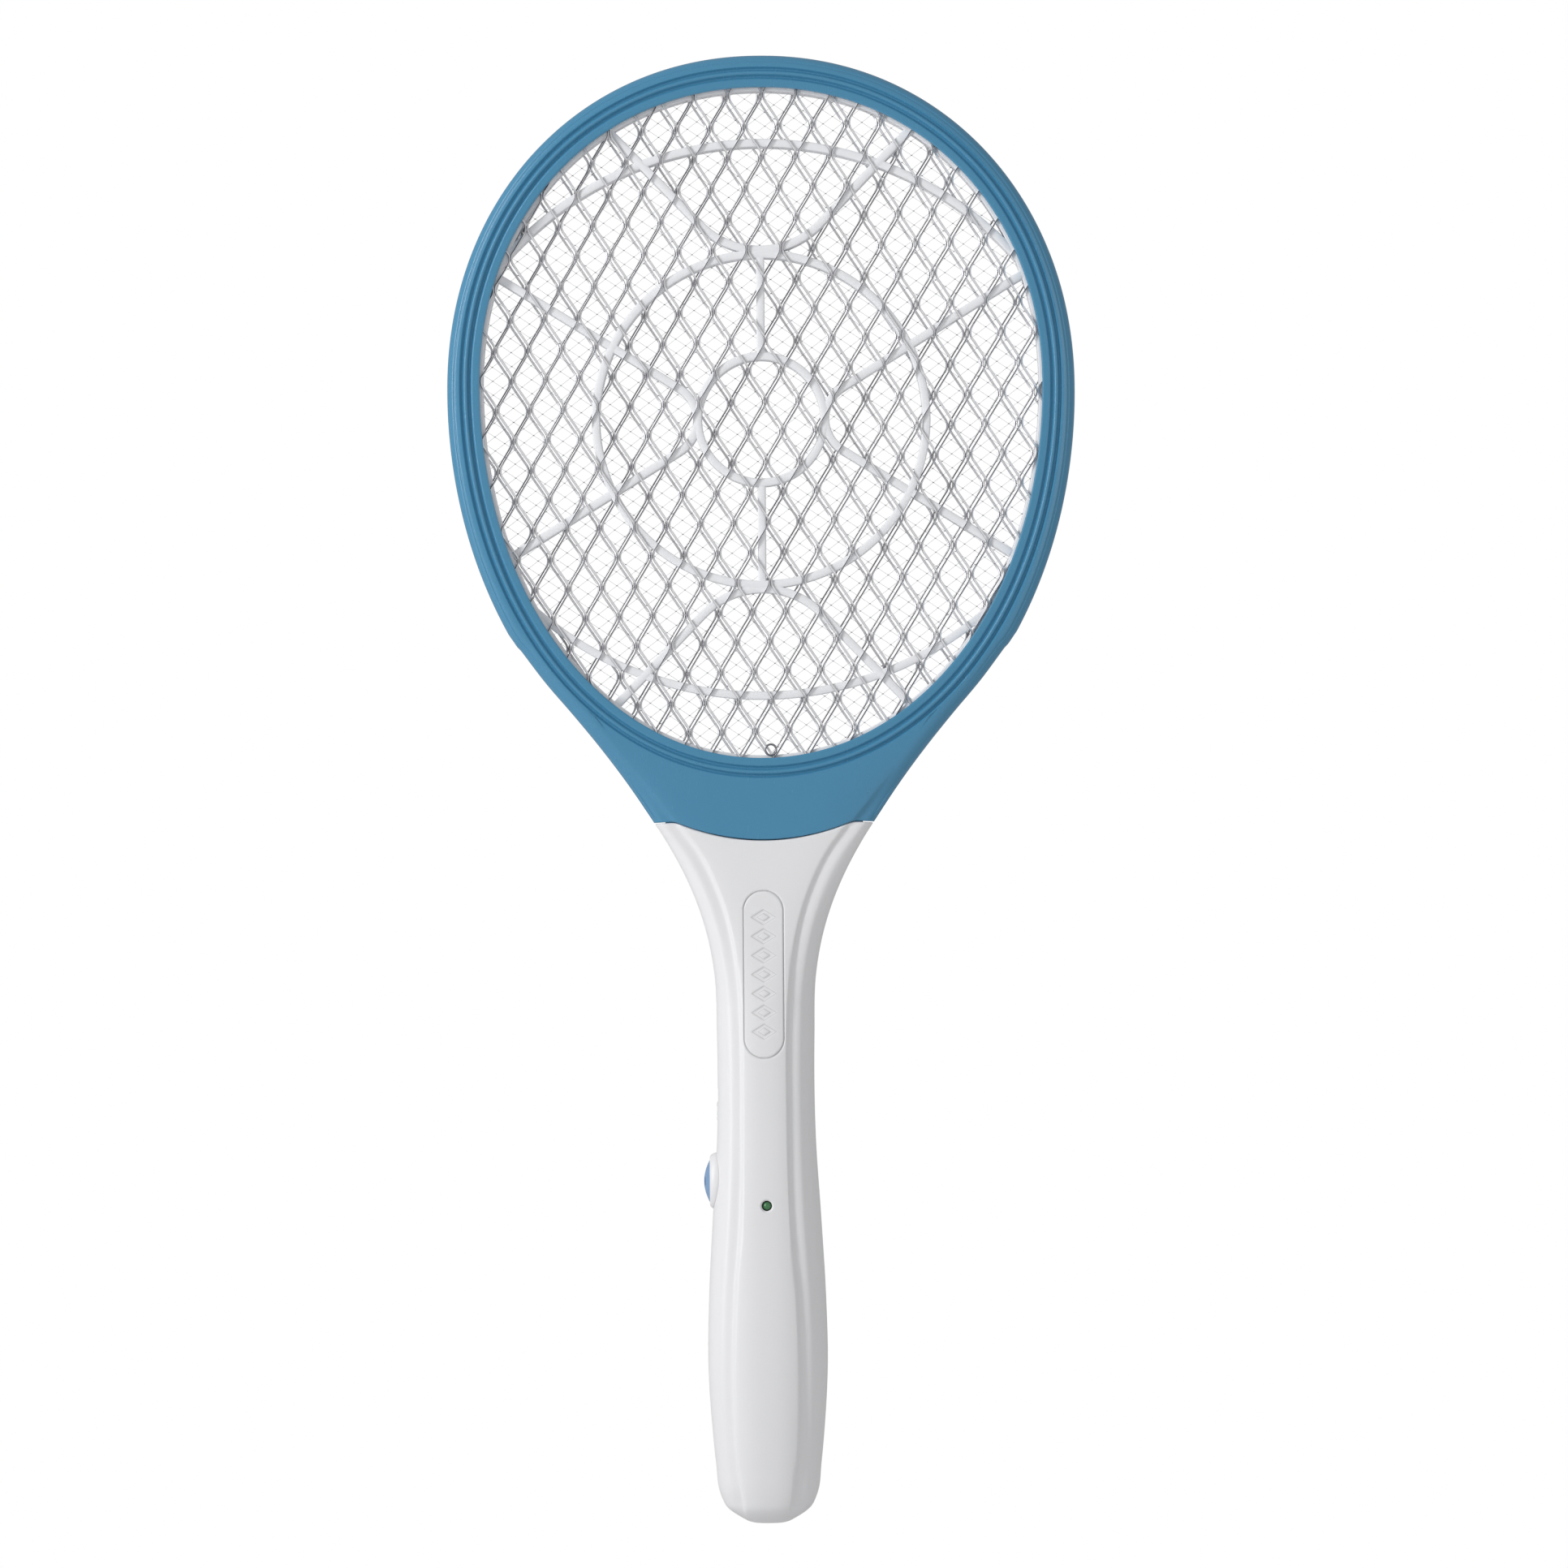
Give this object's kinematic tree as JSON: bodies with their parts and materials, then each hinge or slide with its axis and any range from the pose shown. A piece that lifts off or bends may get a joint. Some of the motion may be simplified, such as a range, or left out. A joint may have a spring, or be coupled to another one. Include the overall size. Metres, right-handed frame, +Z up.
{
  "type": "electric fly swatter",
  "caption": "Racket-shaped electric fly swatter: ridged head frame over layered grids and spacer webs, tapered handle with side button, slide switch, light and retracting charging plug.",
  "frame": {"origin": "centre of the bounding box's bottom, at the handle's bottom end", "axes": "+Z up along the handle to the head, -Y out of the front face, -X the push button's side"},
  "size_m": [0.2182, 0.035, 0.51],
  "materials": {
    "blue_plastic": "satin moulded",
    "white_plastic": "satin moulded",
    "web_plastic": "satin moulded",
    "button_plastic": "gloss moulded",
    "dark_plastic": "satin",
    "grid_metal": "rolled",
    "hot_wire": "drawn wire",
    "screw_steel": "zinc plated",
    "spring_steel": "drawn wire",
    "pin_metal": "nickel plated",
    "contact_brass": "stamped",
    "green_lens": "clear tinted",
    "board_laminate": "lacquered",
    "ferrite": "sintered",
    "winding_tape": "polyester tape",
    "capacitor_red": "dipped",
    "capacitor_blue": "dipped",
    "diode_black": "moulded",
    "resistor_body": "lacquered",
    "battery_case": "shrink sleeve",
    "lead_red": "PVC insulation",
    "lead_black": "PVC insulation"
  },
  "bodies": {
    "handle": {"head_frame_front": "blue_plastic", "head_frame_rear": "blue_plastic", "guard_grid_front": "grid_metal", "guard_grid_rear": "grid_metal", "hot_grid": "hot_wire", "spacer_web_front": "web_plastic", "spacer_web_rear": "web_plastic", "head_screws": "screw_steel", "guard_bridge": "contact_brass", "grid_eyelet": "hot_wire", "hot_terminal": "contact_brass", "handle_shell_front": "white_plastic", "handle_shell_rear": "white_plastic", "handle_screws": "screw_steel", "button_bezel": "white_plastic", "button_switch": "dark_plastic", "slide_switch": "dark_plastic", "indicator_light": "green_lens", "charging_contacts": "contact_brass", "circuit_board": "board_laminate", "board_screws": "screw_steel", "transformer_core": "ferrite", "transformer_winding": "winding_tape", "film_capacitor": "capacitor_red", "hv_capacitors": "capacitor_blue", "diodes": "diode_black", "resistors": "resistor_body", "power_transistor": "diode_black", "battery": "battery_case", "battery_leads": "lead_red", "guard_lead": "lead_black", "hot_lead": "lead_red"},
    "button": {"push_button": "button_plastic"},
    "plunger": {"switch_plunger": "dark_plastic", "button_spring": "spring_steel"},
    "knob": {"slide_knob": "white_plastic"},
    "plug": {"plug_carriage": "dark_plastic", "plug_pins": "pin_metal", "thumb_slider": "button_plastic"}
  },
  "joints": [
    {"name": "button_press", "type": "slide", "parent": "handle", "child": "button", "axis": [1, 0, 0], "range_m": [0, 0.0016], "stiffness_N_per_m": 400, "springref_m": -0.001},
    {"name": "plunger_press", "type": "slide", "parent": "handle", "child": "plunger", "axis": [1, 0, 0], "range_m": [0, 0.0016], "deforming": ["button_spring"]},
    {"name": "power_slide", "type": "slide", "parent": "handle", "child": "knob", "axis": [0, 0, 1], "range_m": [0, 0.004]},
    {"name": "plug_slide", "type": "slide", "parent": "handle", "child": "plug", "axis": [0, 0, -1], "range_m": [0, 0.0204]}
  ],
  "couplings": [
    {"joint": "plunger_press", "follows": "button_press", "ratio": 1}
  ]
}
